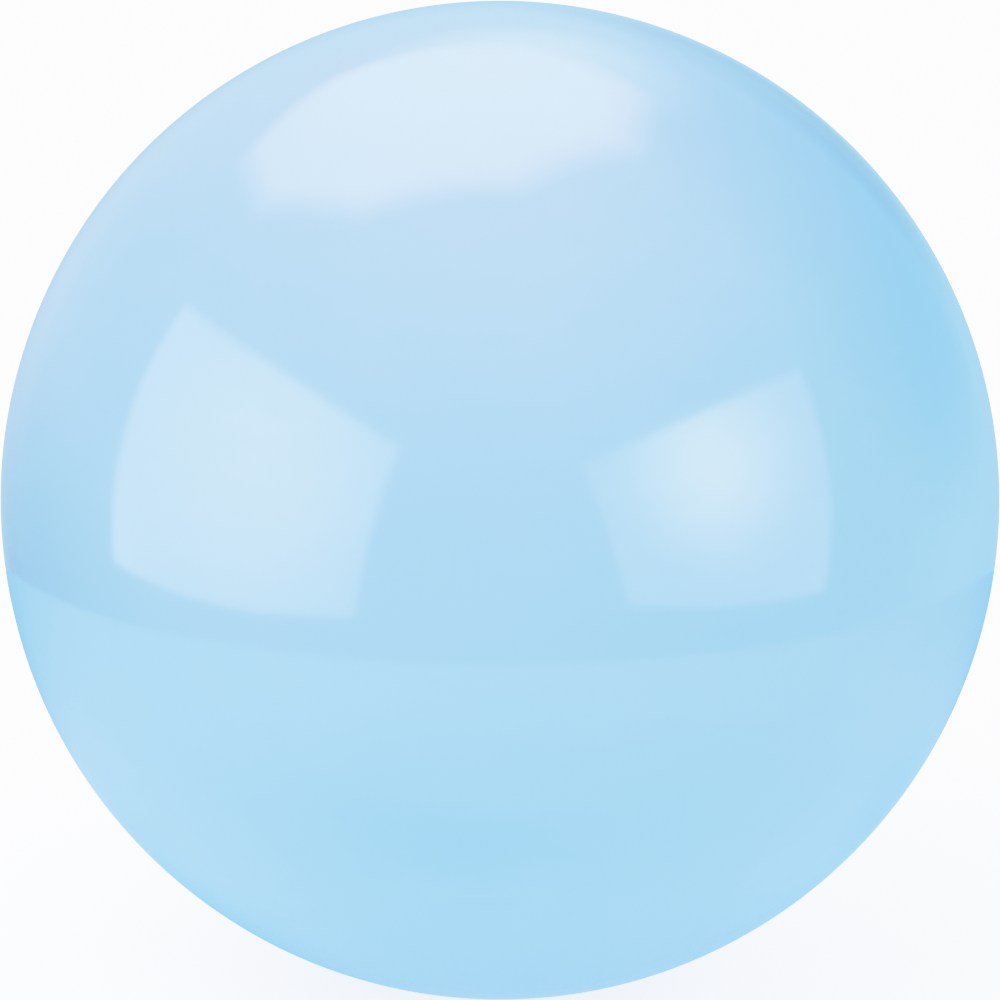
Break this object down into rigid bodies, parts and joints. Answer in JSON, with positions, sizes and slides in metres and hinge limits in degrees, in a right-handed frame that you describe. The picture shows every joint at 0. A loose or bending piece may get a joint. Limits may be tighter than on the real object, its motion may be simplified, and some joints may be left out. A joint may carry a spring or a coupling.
{
  "type": "croquet ball",
  "caption": "Smooth glossy pale blue croquet ball with a hard two-half cover bonded over a cork and rubber core.",
  "frame": {"origin": "centre of the ball", "axes": "+Z through the middle of the upper cover half, with the cover's seam on the XY plane and one upper core spacer in the XZ plane on the +X side"},
  "size_m": [0.092, 0.092, 0.092],
  "materials": {
    "cover": "ground smooth and polished to a deep gloss",
    "adhesive": "cured clear adhesive",
    "bond_resin": "cast amber polyurethane resin",
    "core_composition": "ground cork granules in dark rubber",
    "spacer": "moulded natural nylon"
  },
  "bodies": {
    "root": {"upper_cover": "cover", "lower_cover": "cover", "seam_adhesive": "adhesive", "bond_layer": "bond_resin", "core": "core_composition", "core_spacer_1": "spacer", "core_spacer_2": "spacer", "core_spacer_3": "spacer", "core_spacer_4": "spacer", "core_spacer_5": "spacer", "core_spacer_6": "spacer"}
  },
  "joints": []
}
